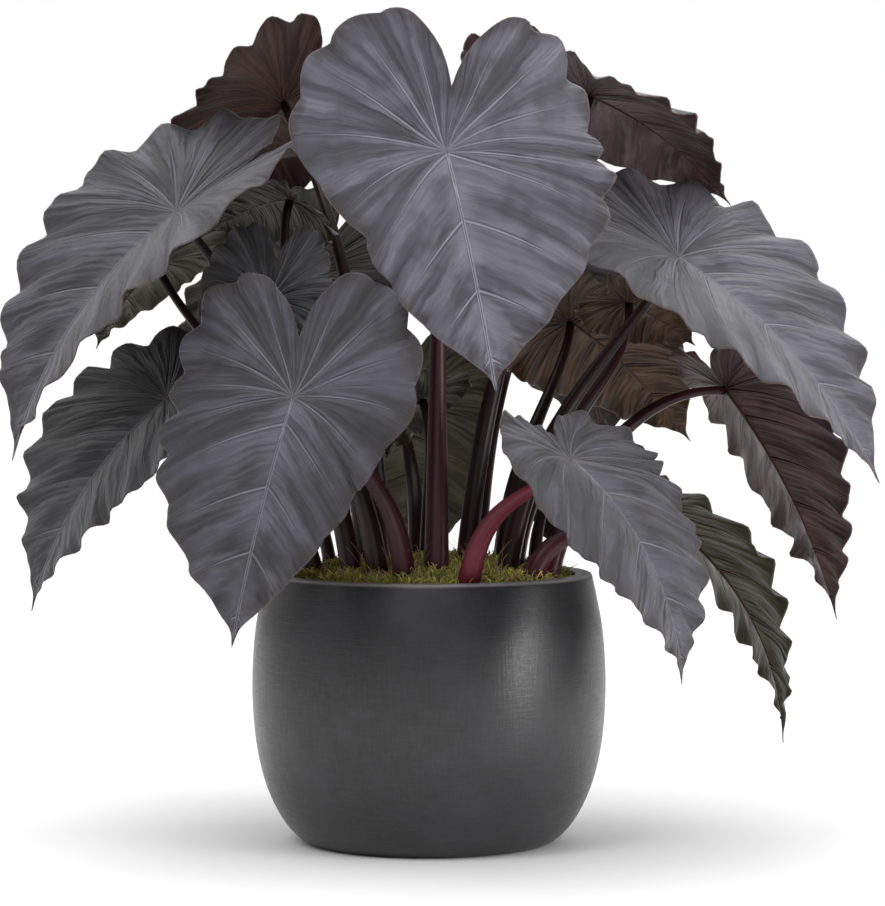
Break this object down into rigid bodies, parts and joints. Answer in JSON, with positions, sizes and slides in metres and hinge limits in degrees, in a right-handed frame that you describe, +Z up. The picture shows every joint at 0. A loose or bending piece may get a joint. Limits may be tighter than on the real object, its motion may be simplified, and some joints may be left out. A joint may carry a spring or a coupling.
{
  "type": "potted elephant ear plant",
  "caption": "Dark, heart-leaved elephant ear plant on tall arching stems, growing from moss in a round matte pot.",
  "frame": {"origin": "middle of the pot's flat underside, on the surface it stands on", "axes": "+Z up, the side shown in the picture faces -Y, +X to the viewer's right"},
  "size_m": [0.9793, 0.899, 0.9363],
  "materials": {
    "pot": "matte charcoal glaze, faintly brushed",
    "soil": "dark potting mix",
    "moss": "soft yellow-green moss",
    "petiole": "smooth dark burgundy stem",
    "blade": "silky charcoal-violet leaf"
  },
  "bodies": {
    "root": {"pot": "pot", "soil": "soil", "moss": "moss", "crown_petiole": "petiole", "crown_blade": "blade", "left_upper_petiole": "petiole", "left_upper_blade": "blade", "left_lower_petiole": "petiole", "left_lower_blade": "blade", "left_front_petiole": "petiole", "left_front_blade": "blade", "right_upper_petiole": "petiole", "right_upper_blade": "blade", "right_front_petiole": "petiole", "right_front_blade": "blade", "high_left_petiole": "petiole", "high_left_blade": "blade", "high_right_petiole": "petiole", "high_right_blade": "blade", "right_hanging_petiole": "petiole", "right_hanging_blade": "blade", "right_low_petiole": "petiole", "right_low_blade": "blade", "right_middle_petiole": "petiole", "right_middle_blade": "blade", "right_inner_petiole": "petiole", "right_inner_blade": "blade", "left_inner_petiole": "petiole", "left_inner_blade": "blade", "left_nest_petiole": "petiole", "left_nest_blade": "blade", "left_far_petiole": "petiole", "left_far_blade": "blade", "middle_small_petiole": "petiole", "middle_small_blade": "blade", "right_small_petiole": "petiole", "right_small_blade": "blade", "back_left_petiole": "petiole", "back_left_blade": "blade", "back_right_petiole": "petiole", "back_right_blade": "blade", "back_low_petiole": "petiole", "back_low_blade": "blade"}
  },
  "joints": []
}
